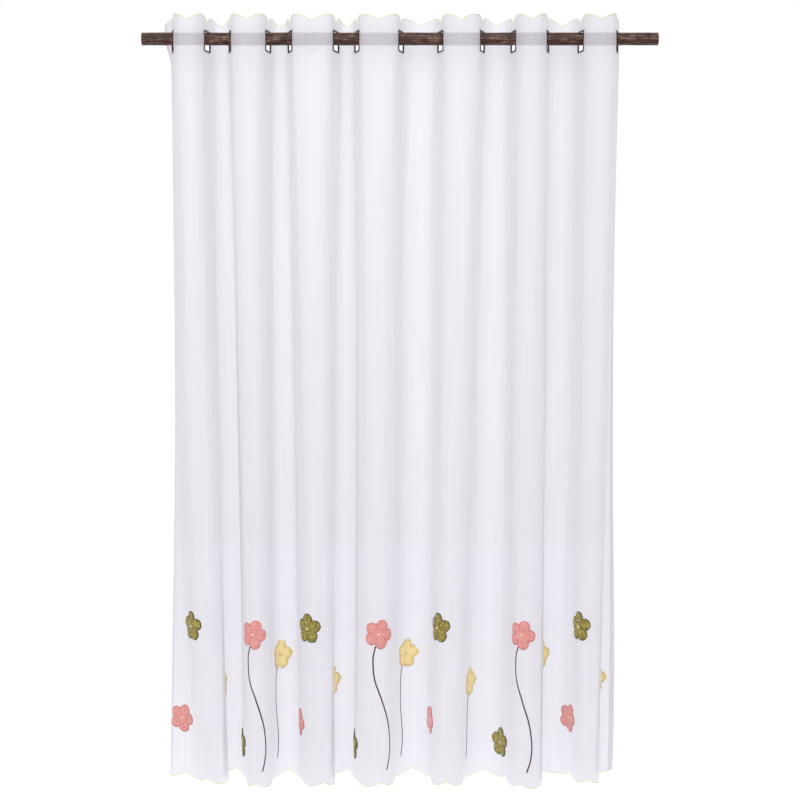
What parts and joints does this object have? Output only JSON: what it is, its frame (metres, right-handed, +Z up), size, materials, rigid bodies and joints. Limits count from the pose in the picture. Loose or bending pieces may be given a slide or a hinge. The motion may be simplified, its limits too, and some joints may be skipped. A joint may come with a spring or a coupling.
{
  "type": "sheer voile curtain on a round rod",
  "caption": "Sheer white voile curtain in soft uneven folds, with scalloped edges, sewn flowers along the hem and square eyelet rings on a round wood rod.",
  "frame": {"origin": "middle of the rod on its axis, where the brackets that are left out carry it", "axes": "+X along the rod to the right, -Y to the front of the curtain, +Z up"},
  "size_m": [1.118, 0.1614, 1.6773],
  "materials": {
    "wood": "dark mottled wood look, satin",
    "ring": "dark brown moulded plastic, satin",
    "voile": "sheer white plain weave, matt",
    "pink": "pink stitched flower cloth, matt",
    "olive": "olive green stitched flower cloth, matt",
    "yellow": "pale yellow stitched flower cloth, matt"
  },
  "bodies": {
    "root": {"rod": "wood", "voile_cloth": "voile", "eyelet_ring_01": "ring", "eyelet_ring_02": "ring", "eyelet_ring_03": "ring", "eyelet_ring_04": "ring", "eyelet_ring_05": "ring", "eyelet_ring_06": "ring", "eyelet_ring_07": "ring", "eyelet_ring_08": "ring", "eyelet_ring_09": "ring", "eyelet_ring_10": "ring", "eyelet_ring_11": "ring", "eyelet_ring_12": "ring", "eyelet_ring_13": "ring", "eyelet_ring_14": "ring", "flower_pink_low_1": "pink", "flower_pink_low_2": "pink", "flower_pink_low_3": "pink", "flower_pink_low_4": "pink", "flower_pink_high_1": "pink", "flower_pink_high_2": "pink", "flower_pink_high_3": "pink", "flower_green_top_1": "olive", "flower_green_top_2": "olive", "flower_green_top_3": "olive", "flower_green_top_4": "olive", "flower_green_low_1": "olive", "flower_green_low_2": "olive", "flower_green_low_3": "olive", "flower_yellow_low_1": "yellow", "flower_yellow_low_2": "yellow", "flower_yellow_low_3": "yellow", "flower_yellow_low_4": "yellow", "flower_yellow_high_1": "yellow", "flower_yellow_high_2": "yellow", "flower_yellow_high_3": "yellow"}
  },
  "joints": []
}
